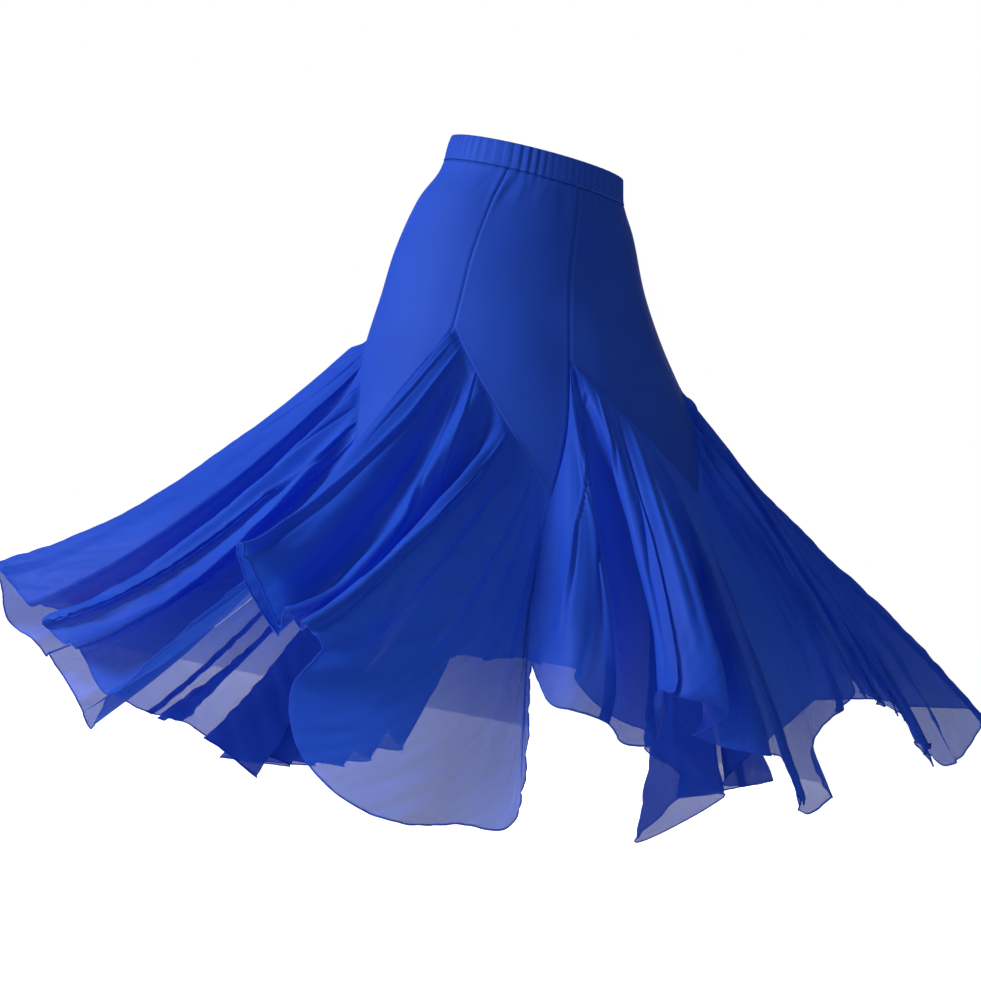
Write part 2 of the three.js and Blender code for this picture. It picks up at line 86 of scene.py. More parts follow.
Section = namedtuple("Section", "drop half_width half_depth sway")
SECTIONS = [
    Section(0, 110, 92, 3),
    Section(38, 117, 98, 4),
    Section(78, 137, 110, 4),
    Section(145, 159, 126, 9),
    Section(205, 179, 141, 22),
    Section(268, 204, 158, 39),
    Section(345, 230, 185, 60),
    Section(430, 267, 222, 71),
]
WAIST_DIP = 8
DIP_FROM_RIGHT = 20


def cubic(t, start, leave, end, arrive):
    """Smooth step from start at t = 0 to end at t = 1, with the slopes leave and arrive there."""
    return (
        (2 * t**3 - 3 * t**2 + 1) * start
        + (t**3 - 2 * t**2 + t) * leave
        + (3 * t**2 - 2 * t**3) * end
        + (t**3 - t**2) * arrive
    )


def at_drop(column, drop):
    """Smooth value of one column of the table at each drop."""
    drops = np.array([section.drop for section in SECTIONS], float)
    values = np.array([getattr(section, column) for section in SECTIONS], float)
    last = len(SECTIONS) - 1
    i = np.clip(np.searchsorted(drops, drop) - 1, 0, last - 1)
    before, after = np.maximum(i - 1, 0), np.minimum(i + 2, last)
    span = drops[i + 1] - drops[i]
    t = (drop - drops[i]) / span
    leave = (values[i + 1] - values[before]) / (drops[i + 1] - drops[before]) * span
    arrive = (values[after] - values[i]) / (drops[after] - drops[i]) * span
    return cubic(t, values[i], leave, values[i + 1], arrive)


def on_body(turn, drop):
    """Point on the form at a turn from the front, in degrees, and a drop below the waist."""
    angle = np.radians(turn)
    x = at_drop("sway", drop) + at_drop("half_width", drop) * np.sin(angle)
    y = -at_drop("half_depth", drop) * np.cos(angle)
    return np.stack(np.broadcast_arrays(x, y, -np.asarray(drop, float)), axis=-1)


def unit(vectors):
    length = np.linalg.norm(vectors, axis=-1, keepdims=True)
    return vectors / np.maximum(length, 1e-9)


def down_the_body(turn, drop):
    return unit(on_body(turn, drop + 1.0) - on_body(turn, drop - 1.0))


def out_of_body(turn, drop):
    """Unit normal of the form, facing out."""
    around = on_body(turn + 0.5, drop) - on_body(turn - 0.5, drop)
    return unit(-np.cross(around, down_the_body(turn, drop)))


def waist_dip(turn):
    """How much lower than its centre the waist is worn at a turn."""
    return WAIST_DIP * np.sin(np.radians(turn + DIP_FROM_RIGHT))


print(f"hips are about {2 * at_drop('half_width', 205.0):.0f} mm wide")

# %% [markdown]
# ## The cut: seams, points and folds
#
# Six seams run down the yoke. Where each one ends, at its apex, a godet begins. The panel between two
# seams goes on down to its own point, and below the point the two godets beside it are joined by a seam
# that ends in a notch of the hem.
#
# A godet's folds are written as a table with a row for each ridge, face and trough, from left to right.
# A fold springs from the seam above it, where -1 is the left point, 0 the apex and 1 the right point, and
# it ends at a turn, reach and drop on the hem. One that is swept aside also names where it passes half way
# down. Rows like these are quick to compare with the photo, fold by fold, which a cloth simulation isn't.

# %% Seams and panels
BAND_HEIGHT = 32

Seam = namedtuple("Seam", "name at_waist at_apex apex_drop")
SEAMS = [
    Seam("left", -91, -90, 262),
    Seam("front_left", -16, -27, 236),
    Seam("front_right", 29, 15.5, 252),
    Seam("right", 88, 82, 250),
    Seam("back_right", 151, 151, 255),
    Seam("back_left", 209, 207, 255),
]

FOLD_COLUMNS = "spring turn reach drop mid_turn mid_reach mid_drop sag"
Fold = namedtuple("Fold", FOLD_COLUMNS, defaults=(None, None, None, 0))
Panel = namedtuple("Panel", "name tip_turn tip_drop joint")
PANELS = [
    Panel("panel_side_front_left", -53, 415, Fold(1, -44, 325, 563, -43, 243, 490)),
    Panel("panel_centre_front", 5, 415, Fold(1, 17, 345, 601, 19, 275, 505)),
    Panel("panel_side_front_right", 56, 380, Fold(1, 56, 553, 687, 55, 418, 504)),
    Panel("panel_side_back_right", 118, 400, Fold(1, 107, 521, 617, 110, 385, 480)),
    Panel("panel_centre_back", 180, 415, Fold(1, 184, 391, 674)),
    Panel("panel_side_back_left", 238, 415, Fold(1, 247, 470, 780)),
]

# %% Folds of the godets
FOLDS = {
    "left": [
        Fold(-0.82, -109, 461, 807),
        Fold(-0.68, -104, 450, 824),
        Fold(-0.54, -97, 452, 786),
        Fold(-0.42, -101, 500, 753),
        Fold(-0.3, -94, 514, 718),
        Fold(-0.18, -96, 560, 700),
        Fold(-0.06, -91, 565, 651, -95, 366, 490, 30),
        Fold(0.05, -88, 572, 622, -88, 350, 476, 40),
        Fold(0.16, -82, 512, 660, -76, 318, 486, 25),
        Fold(0.31, -84, 462, 664, -76, 282, 496),
        Fold(0.46, -75, 495, 670, -68, 309, 506),
        Fold(0.58, -70, 474, 688, -64, 292, 518),
        Fold(0.69, -64, 462, 690, -59, 290, 526),
        Fold(0.78, -68, 445, 702, -62, 270, 522),
        Fold(0.86, -61, 424, 734, -56, 264, 545),
        Fold(0.94, -54, 392, 672, -51, 252, 528),
    ],
    "front_left": [
        Fold(-0.75, -39, 325, 607),
        Fold(-0.45, -34, 330, 625),
        Fold(-0.2, -37, 365, 585, -33, 222, 425),
        Fold(0, -34, 422, 532, -35, 248, 410),
        Fold(0.13, -30, 408, 568, -27, 254, 428),
        Fold(0.25, -30, 362, 610, -20, 238, 450),
        Fold(0.36, -26, 392, 590, -14, 276, 466),
        Fold(0.48, -24, 378, 608, -8, 244, 470),
        Fold(0.62, -20, 434, 594, -8, 314, 474),
        Fold(0.69, -16, 438, 618, -3, 318, 496),
        Fold(0.75, -20, 430, 666, -2, 325, 524),
        Fold(0.81, -17, 442, 723, 1, 333, 551),
        Fold(0.86, -9, 457, 764, 4, 336, 570),
        Fold(0.91, -1, 462, 777, 8, 334, 580),
        Fold(0.95, 7, 445, 770, 12, 325, 583),
        Fold(0.98, 13.5, 452, 765, 15.5, 318, 580),
    ],
    "front_right": [
        Fold(-0.85, 18, 412, 634, 21, 318, 520),
        Fold(-0.6, 20, 431, 635, 23, 338, 500),
        Fold(-0.3, 26, 432, 643, 28, 338, 480),
        Fold(-0.1, 34, 396, 670, 33, 322, 474),
        Fold(0.05, 38, 404, 665, 37, 332, 470),
        Fold(0.18, 29, 485, 597, 32, 374, 466),
        Fold(0.3, 30, 515, 597, 33, 400, 465),
        Fold(0.43, 34, 549, 603, 36, 420, 463),
        Fold(0.56, 38, 472, 644, 41, 390, 478),
        Fold(0.69, 41, 545, 644, 42, 421, 480),
        Fold(0.81, 45, 543, 646, 45, 421, 482),
        Fold(0.92, 51, 548, 706, 49, 419, 498),
    ],
    "right": [
        Fold(-0.85, 59, 508, 647, 61, 414, 488),
        Fold(-0.7, 62, 511, 607, 63, 412, 465),
        Fold(-0.56, 65, 528, 573, 65, 408, 443),
        Fold(-0.45, 66, 499, 547, 66, 396, 438),
        Fold(-0.34, 70, 533, 581, 69, 405, 431),
        Fold(-0.24, 72, 522, 574, 72, 393, 442),
        Fold(-0.14, 76, 549, 590, 75, 409, 427),
        Fold(-0.05, 78, 539, 583, 78, 398, 443),
        Fold(0.04, 81, 581, 606, 81, 416, 424),
        Fold(0.13, 84, 573, 598, 83, 406, 443),
        Fold(0.22, 87, 629, 658, 86, 427, 424),
        Fold(0.31, 89, 606, 633, 89, 419, 441),
        Fold(0.4, 91, 654, 659, 92, 442, 422),
        Fold(0.51, 94, 692, 622, 95, 432, 434),
        Fold(0.63, 96, 703, 590, 98, 448, 421),
        Fold(0.76, 100, 616, 600, 102, 430, 440),
        Fold(0.88, 103, 601, 599, 105, 422, 446),
    ],
    "back_right": [
        Fold(-0.88, 117, 457, 757),
        Fold(-0.78, 117.5, 541, 744),
        Fold(-0.68, 123.5, 422, 790),
        Fold(-0.58, 113.5, 443, 768),
        Fold(-0.48, 125, 372, 857),
        Fold(-0.38, 127, 454, 770),
        Fold(-0.28, 133.5, 412, 735),
        Fold(-0.18, 129, 478, 728),
        Fold(-0.06, 144, 426, 705),
        Fold(0.09, 150, 395, 670),
        Fold(0.25, 155, 460, 655),
        Fold(0.41, 161, 390, 650),
        Fold(0.57, 166, 450, 655),
        Fold(0.73, 172, 388, 660),
        Fold(0.88, 178, 430, 668),
    ],
    "back_left": [
        Fold(-0.88, 189, 410, 785),
        Fold(-0.76, 186, 345, 808),
        Fold(-0.64, 199, 405, 818),
        Fold(-0.52, 193, 335, 828),
        Fold(-0.4, 210, 385, 846),
        Fold(-0.28, 201, 310, 838),
        Fold(-0.16, 221, 360, 842),
        Fold(-0.04, 211, 285, 838),
        Fold(0.08, 231, 355, 848),
        Fold(0.2, 220, 275, 840),
        Fold(0.32, 233, 354, 826),
        Fold(0.44, 229, 290, 860),
        Fold(0.57, 240, 372, 806),
        Fold(0.72, 241.5, 405, 804),
        Fold(0.87, 244, 436, 798),
    ],
}
print("folds:", {name: len(rows) for name, rows in FOLDS.items()})

# %% [markdown]
# ## From a flat grid to a cloth
#
# Every cloth starts as a flat bmesh grid, the way cloth starts on a roll. Then each vertex moves to the
# place that its row and column have in the worn skirt. The same rows and columns give the UV map, measured
# in metres along the cloth, so a weave laid on the UVs keeps its real size and follows every fold. The
# moves are done on whole arrays, because a godet has 50,000 vertices and a loop over them is slow.

# %% Make a cloth from its places
def new_piece(name, bm, smooth=True):
    """Puts a finished bmesh into the scene as an object."""
    for face in bm.faces:
        face.smooth = smooth
    mesh = bpy.data.meshes.new(name)
    bm.to_mesh(mesh)
    bm.free()
    piece = bpy.data.objects.new(name, mesh)
    bpy.context.scene.collection.objects.link(piece)
    return piece


def walk_along(points):
    """How far each point of a line is from its first point, along the line."""
    return np.concatenate([[0], np.cumsum(np.linalg.norm(np.diff(points, axis=0), axis=1))])


def walk_across(cloth):
    """How far each vertex is from the left side, along its own row."""
    across = np.zeros(cloth.shape[:2])
    across[:, 1:] = np.cumsum(np.linalg.norm(np.diff(cloth, axis=1), axis=2), axis=1)
    return across


def cloth_from_grid(name, places):
    """A grid piece with places[row][column] in millimetres, columns rightwards and rows down."""
    rows, columns = places.shape[0] - 1, places.shape[1] - 1
    metres = places * MM
    across = walk_across(metres)
    across -= across[:, columns // 2][:, None]
    along = walk_across(metres.transpose(1, 0, 2)).T

    bm = bmesh.new()
    bmesh.ops.create_grid(bm, x_segments=columns, y_segments=rows, size=1.0)
    piece = new_piece(name, bm)
    mesh = piece.data

    # the grid runs from -1 to 1 both ways, which tells each vertex its column and row
    flat = np.empty(len(mesh.vertices) * 3, dtype=np.float32)
    mesh.vertices.foreach_get("co", flat)
    column = np.rint((flat[0::3] + 1) / 2 * columns).astype(int)
    row = np.rint((1 - flat[1::3]) / 2 * rows).astype(int)
    mesh.vertices.foreach_set("co", metres[row, column].astype(np.float32).ravel())
    corner = np.empty(len(mesh.loops), dtype=np.int32)
    mesh.loops.foreach_get("vertex_index", corner)
    on_cloth = np.stack([across, -along], axis=-1)[row[corner], column[corner]]
    mesh.uv_layers.new(name="cloth").data.foreach_set("uv", on_cloth.astype(np.float32).ravel())
    mesh.update()
    return piece


def uneven(seed, places, size):
    """Soft random waviness from -1 to 1, the same every time, with waves about size long."""
    random = np.random.default_rng(seed)
    value = np.zeros(np.shape(places)[:-1])
    for octave in range(5):
        direction = random.normal(size=np.shape(places)[-1])
        direction /= np.linalg.norm(direction)
        wave = random.uniform(0.7, 1.5) / size
        value += np.sin(places @ direction * wave * 2 * math.pi + random.uniform(0, 2 * math.pi))
    return value / 3.2


# %% [markdown]
# ## The waistband
#
# A waistband of this kind is a strip folded over wide elastic and stitched below it. The elastic is shorter
# than the strip, so the cloth bunches into upright gathers. A tube with a texture would look printed, so
# the gathers are modelled: the grid's rows go up the outside, over the top edge and down the inside, and
# its columns swing in and out. Their depth varies round the waist, because real gathers bunch unevenly.

# %% Waistband
BAND_WALL = 2.4
BAND_GATHERS = 66
STITCH_ROWS = (26.5, 29.5)

Ring = namedtuple("Ring", "drop out")


def band_profile():
    """Half way round the casing: outer face from the bottom up, over the top, and the inner face down."""
    half = BAND_WALL / 2
    rings = [Ring(BAND_HEIGHT - step * (BAND_HEIGHT - half) / 22, half) for step in range(22)]
    rings += [Ring(half - half * math.sin(a), half * math.cos(a)) for a in np.linspace(0, math.pi, 9)]
    rings += [Ring(half + step * (BAND_HEIGHT - half - 3) / 8, -half) for step in range(1, 9)]
    return rings


def gather(turn):
    """Uneven upright flutes of the gathered cloth, from -1 to 1."""
    around = np.stack([np.cos(np.radians(turn)), np.sin(np.radians(turn))], axis=-1)
    drift = 0.9 * uneven(11, around, 1.1)
    depth = 0.62 + 0.42 * uneven(12, around, 0.5)
    flute = np.sin(np.radians(turn) * BAND_GATHERS + 2 * math.pi * drift)
    return depth * (flute + 0.3 * np.sin(np.radians(turn) * BAND_GATHERS * 2 + 9 * drift))


band_turns = np.linspace(-180, 180, BAND_GATHERS * 9 + 1)
band_rows = []
for ring in band_profile():
    worn = ring.drop + waist_dip(band_turns)
    outside = max(0.0, ring.out / (BAND_WALL / 2))
    pinch = sum(math.exp(-(((ring.drop - row) / 0.8) ** 2)) for row in STITCH_ROWS)
    swell = 0.35 * math.sin(math.pi * min(ring.drop, 26) / 26)
    out = ring.out + outside * (0.75 * gather(band_turns) * (1 - 0.5 * pinch) + swell - 0.45 * pinch)
    band_rows.append(on_body(band_turns, worn) + out_of_body(band_turns, worn) * out[:, None])
waistband = cloth_from_grid("waistband_cloth", np.array(band_rows))
print("waistband:", len(waistband.data.polygons), "faces")

# %% [markdown]
# The rows above run from the bottom of the outer face upwards, so the grid lies upside down and would face
# inwards. Its faces are flipped, and the two ends of the strip are welded into a ring.

# %% Close the ring
bm = bmesh.new()
bm.from_mesh(waistband.data)
bmesh.ops.remove_doubles(bm, verts=bm.verts, dist=1e-6)
bmesh.ops.reverse_faces(bm, faces=bm.faces)
bm.to_mesh(waistband.data)
bm.free()

# %% [markdown]
# ## The hip yoke
#
# The six panels are smooth knit, stretched over the hips. What shows on them is small: a groove along each
# seam where the edges turn in, puckers that fan out under the elastic, and a few long soft pulls. All of
# them are offsets along the form's normal, worked out where the cloth is made. A sculpted or simulated
# yoke would lose the crisp seams.

# %% Panel edges
PANEL_WALL = 1.0
TIP_WIDTH = 3


def lerp(a, b, share):
    return a + (b - a) * share


def seam_after(i):
    """The seam on the right of panel i. After the last one comes the first, a full turn on."""
    following = SEAMS[(i + 1) % len(SEAMS)]
    lap = 360 if i + 1 == len(SEAMS) else 0
    return Seam(following.name, following.at_waist + lap, following.at_apex + lap, following.apex_drop)


def panel_edge(seam, tip_turn, tip_drop, side, way):
    """Turn and drop on a panel's side: way is 0 at the waistband, 1 at the apex, 2 at the point."""
    way = np.asarray(way, float)
    half_tip = np.degrees(TIP_WIDTH / 2 / at_drop("half_width", float(tip_drop)))
    yoke, point = np.minimum(way, 1), np.maximum(way - 1, 0)
    turn = lerp(seam.at_waist, seam.at_apex, yoke) + (tip_turn + side * half_tip - seam.at_apex) * point
    drop = lerp(BAND_HEIGHT, seam.apex_drop, yoke) + (tip_drop - seam.apex_drop) * point
    return turn, drop


# %% Creases of the yoke
Pull = namedtuple("Pull", "turn drop end_turn end_drop width depth")
PULLS = [
    Pull(-22, 38, -31, 74, 3, -0.8),
    Pull(-27, 38, -36, 66, 3, 0.7),
    Pull(-18.5, 36, -20.5, 96, 3.2, 0.9),
    Pull(-12.5, 36, -18, 92, 3.4, 1.2),
    Pull(-8, 40, -14, 84, 4, -0.9),
    Pull(-2, 40, -8, 88, 5, 0.9),
    Pull(8, 42, 4, 82, 5, 0.7),
    Pull(20, 42, 17, 96, 6, -0.8),
    Pull(36, 44, 33, 98, 6, 0.8),
    Pull(52, 46, 49, 112, 6, -1),
    Pull(62, 46, 60, 124, 6, 1.1),
    Pull(73, 46, 72, 118, 6, -0.9),
    Pull(-48, 40, -58, 92, 7, 0.8),
    Pull(-70, 38, -76, 84, 7, -0.7),
    Pull(112, 42, 110, 104, 7, 1),
    Pull(131, 40, 134, 92, 6, -0.9),
    Pull(160, 38, 164, 98, 7, 0.9),
    Pull(186, 38, 184, 90, 6, -0.8),
    Pull(222, 38, 226, 96, 7, 0.9),
    Pull(250, 38, 247, 88, 6, -0.8),
    Pull(5, 170, 30, 330, 34, -3),
    Pull(-55, 150, -48, 330, 30, -1.4),
    Pull(120, 140, 122, 320, 34, -2),
    Pull(180, 120, 180, 330, 30, -3),
]


def pulls(turn, drop):
    """Sum of the soft ridges and troughs at each turn and drop, in millimetres out."""
    total = np.zeros(np.shape(turn))
    radius = at_drop("half_width", drop)
    for pull in PULLS:
        along = np.array([np.radians(pull.end_turn - pull.turn) * 150, pull.end_drop - pull.drop])
        length = np.linalg.norm(along)
        for lap in (-360, 0, 360):
            sideways = np.radians(turn - pull.turn - lap) * radius
            downwards = drop - pull.drop
            share = (sideways * along[0] + downwards * along[1]) / length**2
            off = (sideways * along[1] - downwards * along[0]) / length
            fade = np.exp(-(((share - 0.45) / 0.38) ** 2))
            total += pull.depth * fade * np.exp(-((off / pull.width) ** 2))
    return total


# %% Yoke panels
PANEL_COLUMNS = 64
PANEL_ROWS = 100

yoke = {}
for i, panel in enumerate(PANELS):
    way = np.linspace(0, 2, PANEL_ROWS + 1)[:, None]
    left_turn, left_drop = panel_edge(SEAMS[i], panel.tip_turn, panel.tip_drop, -1, way)
    right_turn, right_drop = panel_edge(seam_after(i), panel.tip_turn, panel.tip_drop, 1, way)
    share = (0.5 - 0.5 * np.cos(np.linspace(0, math.pi, PANEL_COLUMNS + 1)))[None, :]
    turn = lerp(left_turn, right_turn, share)
    drop = lerp(left_drop, right_drop, share) + waist_dip(turn) * np.maximum(0, 1 - way)
    width = np.linalg.norm(on_body(left_turn, left_drop) - on_body(right_turn, right_drop), axis=-1)
    from_edge = np.minimum(share, 1 - share) * width
    below_band = drop - BAND_HEIGHT - waist_dip(turn)
    groove = -0.9 * np.exp(-((from_edge / 1.3) ** 2)) + 0.3 * np.exp(-(((from_edge - 4.5) / 2.5) ** 2))
    # the seam allowance lies flat near the panel's point, where both grooves would meet
    groove = groove * np.minimum(1, width / 14)
    puckers = 0.6 * gather(turn) * np.exp(-np.maximum(below_band, 0) / 11)
    tuck = -0.6 * np.exp(-((below_band / 1.6) ** 2))
    out = PANEL_WALL / 2 + groove + puckers + tuck + pulls(turn, drop)
    places = on_body(turn, drop) + out_of_body(turn, drop) * out[..., None]
    yoke[panel.name] = cloth_from_grid(panel.name + "_cloth", places)
print("yoke:", ", ".join(yoke))

# %% [markdown]
# ## The godets
#
# A godet hangs from the edge of the V between two panels. Each row of its fold table becomes a rib, a
# Bezier curve from the seam down to the hem. At every height a smooth curve through all the ribs gives the
# cloth's line there. It is the same shape as the solid's, on a grid many times finer, with what the solid
# leaves out: creases, pleats, small flutes, puckers along the seam and a narrow rolled hem.

# %% Ribs
def hem_point(turn, reach, drop):
    angle = math.radians(turn)
    return np.array([reach * math.sin(angle), -reach * math.cos(angle), -drop])


def spring_point(i, spring):
    """Where a godet's top edge runs, at each spring from -1 to 1. Returns turn and drop."""
    spring = np.asarray(spring, float)
    before = PANELS[(i - 1) % len(PANELS)]
    lap = -360 if i == 0 else 0
    on_left = panel_edge(SEAMS[i], before.tip_turn + lap, before.tip_drop, 1, 1 + np.abs(spring))
    on_right = panel_edge(SEAMS[i], PANELS[i].tip_turn, PANELS[i].tip_drop, -1, 1 + np.abs(spring))
    return np.where(spring < 0, on_left[0], on_right[0]), np.where(spring < 0, on_left[1], on_right[1])


def rib(i, fold, shares):
    """Points of one fold's line from the seam at share 0 to the hem at share 1."""
    turn, drop = spring_point(i, fold.spring)
    start = on_body(turn, drop)
    if abs(fold.spring) == 1:
        beside = PANELS[(i - 1) % len(PANELS)] if fold.spring < 0 else PANELS[i]
        start = on_body(float(beside.tip_turn), float(beside.tip_drop))
    end = hem_point(fold.turn, fold.reach, fold.drop)
    if fold.mid_drop is None:
        length = np.linalg.norm(end - start)
        down = down_the_body(turn, drop)
        leave = start + 0.28 * length * down
        arrive = lerp(leave + 0.14 * length * down, end, 1 / 3)
    else:
        mid = hem_point(fold.mid_turn, fold.mid_reach, fold.mid_drop)
        leave = lerp(start, mid, 0.45) - np.array([0, 0, fold.sag])
        arrive = (8 * mid - start - end - 3 * leave) / 3
    t = shares[:, None]
    return (1 - t) ** 3 * start + 3 * (1 - t) ** 2 * t * leave + 3 * (1 - t) * t**2 * arrive + t**3 * end


# %% A smooth line through the ribs
def through_ribs(ribs, stations):
    """Centripetal curve across ribs[rib][row], which never loops between two ribs."""
    padded = np.concatenate([2 * ribs[:1] - ribs[1:2], ribs, 2 * ribs[-1:] - ribs[-2:-1]])
    k = np.minimum(stations.astype(int), len(ribs) - 2)
    t = (stations - k)[:, None, None]
    a, b, c, d = padded[k], padded[k + 1], padded[k + 2], padded[k + 3]
    pairs = ((a, b), (b, c), (c, d))
    ab, bc, cd = (np.sqrt(np.linalg.norm(q - p, axis=-1, keepdims=True)) for p, q in pairs)
    bc = np.maximum(bc, 1e-3)
    ab, cd = np.where(ab < 1e-3, bc, ab), np.where(cd < 1e-3, bc, cd)
    leave = ((b - a) / ab - (c - a) / (ab + bc) + (c - b) / bc) * bc
    arrive = ((c - b) / bc - (d - b) / (bc + cd) + (d - c) / cd) * bc
    return cubic(t, b, leave, c, arrive)


# %% One godet's cloth
def from_sides(columns, steps):
    """0 at the two sides of a godet, rising to 1 within a number of columns."""
    column = np.arange(columns)
    return np.minimum(1, np.minimum(column, column[::-1]) / steps)


GODET_COLUMNS = 560
GODET_ROWS = 84
EVEN_AT = 0.7
PLEAT_DENSITY = 2.5
PLEAT_SPAN = 0.22

# a line where the cloth laps over itself, as pairs of a fold number and a share of the way down, with the
# width of the lap, how much cloth it takes up and how far its layers lie apart, in millimetres at the hem
Pleat = namedtuple("Pleat", "path width tuck lift")
PLEATS = {
    "left": [
        Pleat([(8.7, 0.05), (8.5, 0.3), (8.4, 1)], 8, 9, 5),
        Pleat([(12.9, 0.15), (11.8, 0.4), (11.4, 1)], 8, 10, 5),
    ],
    "front_left": [
        Pleat([(9.3, 0.05), (9.2, 0.4), (9.2, 1)], 8, 11, -4),
    ],
    "front_right": [
        Pleat([(7.1, 0.05), (6.9, 0.4), (6.6, 1)], 8, 11, -4),
        Pleat([(2.9, 0.15), (2.9, 1)], 8, 11, -4),
        Pleat([(9.9, 0.1), (10, 1)], 10, 14, -4),
        Pleat([(11.6, 0.15), (11.7, 1)], 10, 14, -4),
    ],
    "right": [
        Pleat([(2.4, 0.1), (2.3, 1)], 10, 9, -4),
        Pleat([(4.4, 0.1), (4.3, 1)], 9, 8, -4),
        Pleat([(6.5, 0.08), (6.5, 1)], 10, 9, -4),
        Pleat([(8.5, 0.08), (8.6, 1)], 9, 8, -3.5),
        Pleat([(10.5, 0.08), (10.6, 1)], 10, 9, -4),
        Pleat([(12.3, 0.08), (12.4, 1)], 11, 10, -4),
        Pleat([(14.6, 0.1), (14.6, 1)], 10, 9, -3.5),
    ],
    "back_right": [
        Pleat([(1.3, 0.2), (1.4, 1)], 10, 15, 5),
        Pleat([(10.2, 0.1), (10.4, 1)], 12, 18, 5),
        Pleat([(12.1, 0.1), (12, 1)], 12, 18, -5),
        Pleat([(13.7, 0.1), (13.8, 1)], 13, 20, 5),
        Pleat([(15.1, 0.2), (15.2, 1)], 11, 16, -5),
    ],
    "back_left": [
        Pleat([(1.1, 0.15), (1.1, 1)], 12, 18, -5),
        Pleat([(12.6, 0.15), (12.6, 1)], 17, 32, 7),
        Pleat([(13.1, 0.1), (13.15, 1)], 18, 35, 7),
        Pleat([(13.65, 0.1), (13.65, 1)], 18, 34, 7),
        Pleat([(14.15, 0.12), (14.15, 1)], 15, 27, 7),
        Pleat([(14.8, 0.15), (14.8, 1)], 13, 23, 6),
    ],
}


def godet_places(i):
    before = PANELS[(i - 1) % len(PANELS)].joint
    folds = [before._replace(spring=-1), *FOLDS[SEAMS[i].name], PANELS[i].joint]
    shares = np.linspace(0, 1, GODET_ROWS + 1) ** 1.15
    ribs = np.array([rib(i, fold, shares) for fold in folds])

    # spread the columns evenly along a line above the hem, and closer where a narrow pleat comes
    fine = np.linspace(0, len(folds) - 1, 2400)
    line = through_ribs(ribs, fine)[:, int(GODET_ROWS * EVEN_AT)]
    steps = np.linalg.norm(np.diff(line, axis=0), axis=1)
    for pleat in PLEATS[SEAMS[i].name]:
        steps *= 1 + PLEAT_DENSITY * np.exp(-(((fine[1:] - pleat.path[-1][0]) / PLEAT_SPAN) ** 2))
    walked = np.concatenate([[0], np.cumsum(steps)])
    stations = np.interp(np.linspace(0, walked[-1], GODET_COLUMNS + 1), walked, fine)
    cloth = through_ribs(ribs, stations).transpose(1, 0, 2)

    # the top edge follows the panels exactly, and lets go of them further down
    k = np.minimum(stations.astype(int), len(folds) - 2)
    springs = np.array([fold.spring for fold in folds], float)
    spring = lerp(springs[k], springs[k + 1], stations - k)
    turn, drop = spring_point(i, spring)
    slip = on_body(turn, drop) - cloth[0]
    # neighbouring godets share the line of their joint seam, so nothing slips there
    held = (1 - shares[:, None]) ** 2 * from_sides(len(slip), 8)
    return cloth + slip[None] * held[..., None], shares, stations


@functools.lru_cache
def evening(columns, passes):
    """Weights that even out a row of points across the columns, many times over, with its two ends kept."""
    beside = np.full(columns - 1, 0.25)
    once = np.diag(np.full(columns, 0.5)) + np.diag(beside, 1) + np.diag(beside, -1)
    once[0], once[-1] = np.eye(columns)[0], np.eye(columns)[-1]
    return np.linalg.matrix_power(once, passes)


SOFT_PASSES = 18
EVEN_PASSES = 2600


def smoothed(cloth, passes):
    return evening(cloth.shape[1], passes) @ cloth


def soften(cloth, shares):
    """Rounds the folds near the seam, where the cloth is held, and leaves them full at the hem."""
    keep = (0.8 * (1 - shares) ** 1.5)[:, None, None]
    mixed = lerp(cloth, smoothed(cloth, SOFT_PASSES), keep)
    mixed[0], mixed[:, 0], mixed[:, -1] = cloth[0], cloth[:, 0], cloth[:, -1]
    return mixed


def deepen(cloth, shares):
    """Makes ridges and troughs stand out as soon as they leave the seam, as a full godet's do."""
    even = smoothed(cloth, EVEN_PASSES)
    fold = cloth - even
    fold -= fold[:1]
    normal = cloth_normals(even)
    height = np.sum(fold * normal, axis=2)
    gain = (np.maximum(shares, 0.03) ** -0.55 - 1) * np.minimum(1, shares / 0.04)
    return cloth + normal * (height * gain[:, None] * from_sides(cloth.shape[1], 20))[..., None]


def cloth_normals(cloth):
    across = np.gradient(cloth, axis=1)
    along = np.gradient(cloth, axis=0)
    return unit(-np.cross(across, along))


# %% [markdown]
# The fold tables hold the big folds. Creases are the smaller ones that lie on them: a narrow ridge with a
# trough on its right, or with a negative height a trough by itself. A crease's path is a few pairs of a fold
# number and a share of the way down, so it stays on its fold when the fold is moved. On the sides that the
# photo hides, creases of the same kind are scattered from a fixed seed.

